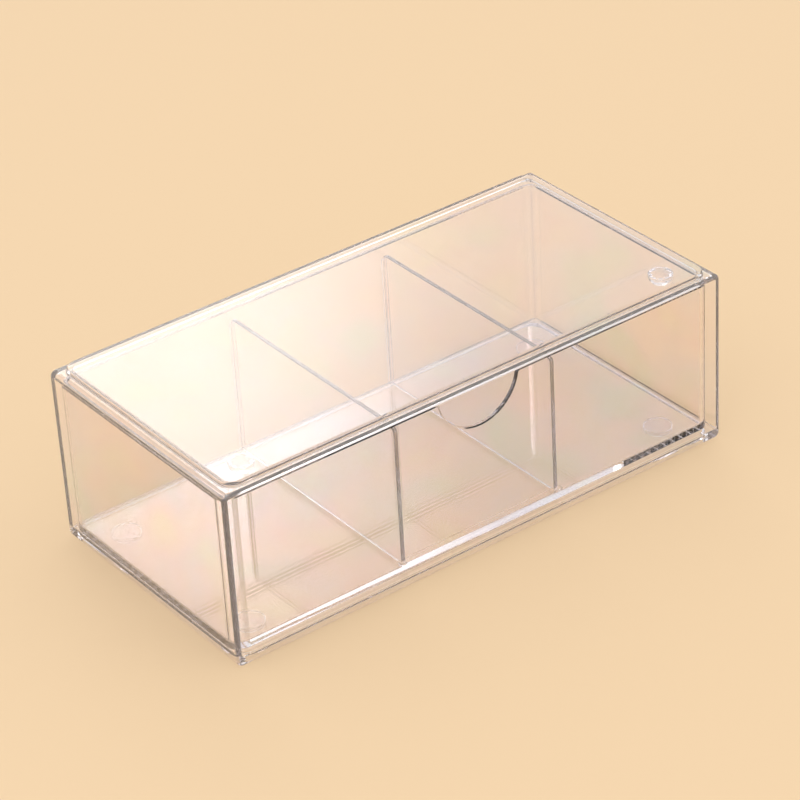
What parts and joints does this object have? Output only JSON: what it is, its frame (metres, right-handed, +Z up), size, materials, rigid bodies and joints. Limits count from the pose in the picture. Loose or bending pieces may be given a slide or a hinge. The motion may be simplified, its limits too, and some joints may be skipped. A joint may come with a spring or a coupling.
{
  "type": "stackable drawer box",
  "caption": "Clear stackable box, open at the front, with a sliding drawer that has a half-round finger notch and upright lift-out dividers.",
  "frame": {"origin": "middle of the footprint, on the plane that the box stands on", "axes": "+X to the right along the open front, +Y from the open front to the closed back, +Z up"},
  "size_m": [0.26, 0.1276, 0.085],
  "materials": {
    "case_plastic": "clear, polished",
    "drawer_plastic": "clear, polished",
    "divider_plastic": "clear, polished",
    "bumper_plastic": "clear, soft"
  },
  "bodies": {
    "case": {"case_shell": "case_plastic", "drawer_stop_left": "bumper_plastic", "drawer_stop_right": "bumper_plastic", "foot_front_left": "bumper_plastic", "foot_front_right": "bumper_plastic", "foot_back_left": "bumper_plastic", "foot_back_right": "bumper_plastic"},
    "drawer": {"drawer_tray": "drawer_plastic"},
    "left_divider": {"divider_left": "divider_plastic"},
    "right_divider": {"divider_right": "divider_plastic"}
  },
  "joints": [
    {"name": "drawer_slide", "type": "slide", "parent": "case", "child": "drawer", "axis": [0, -1, 0], "range_m": [0, 0.103]},
    {"name": "divider_left_lift", "type": "slide", "parent": "drawer", "child": "left_divider", "axis": [0, 0, 1], "range_m": [0, 0.006]},
    {"name": "divider_right_lift", "type": "slide", "parent": "drawer", "child": "right_divider", "axis": [0, 0, 1], "range_m": [0, 0.006]}
  ]
}
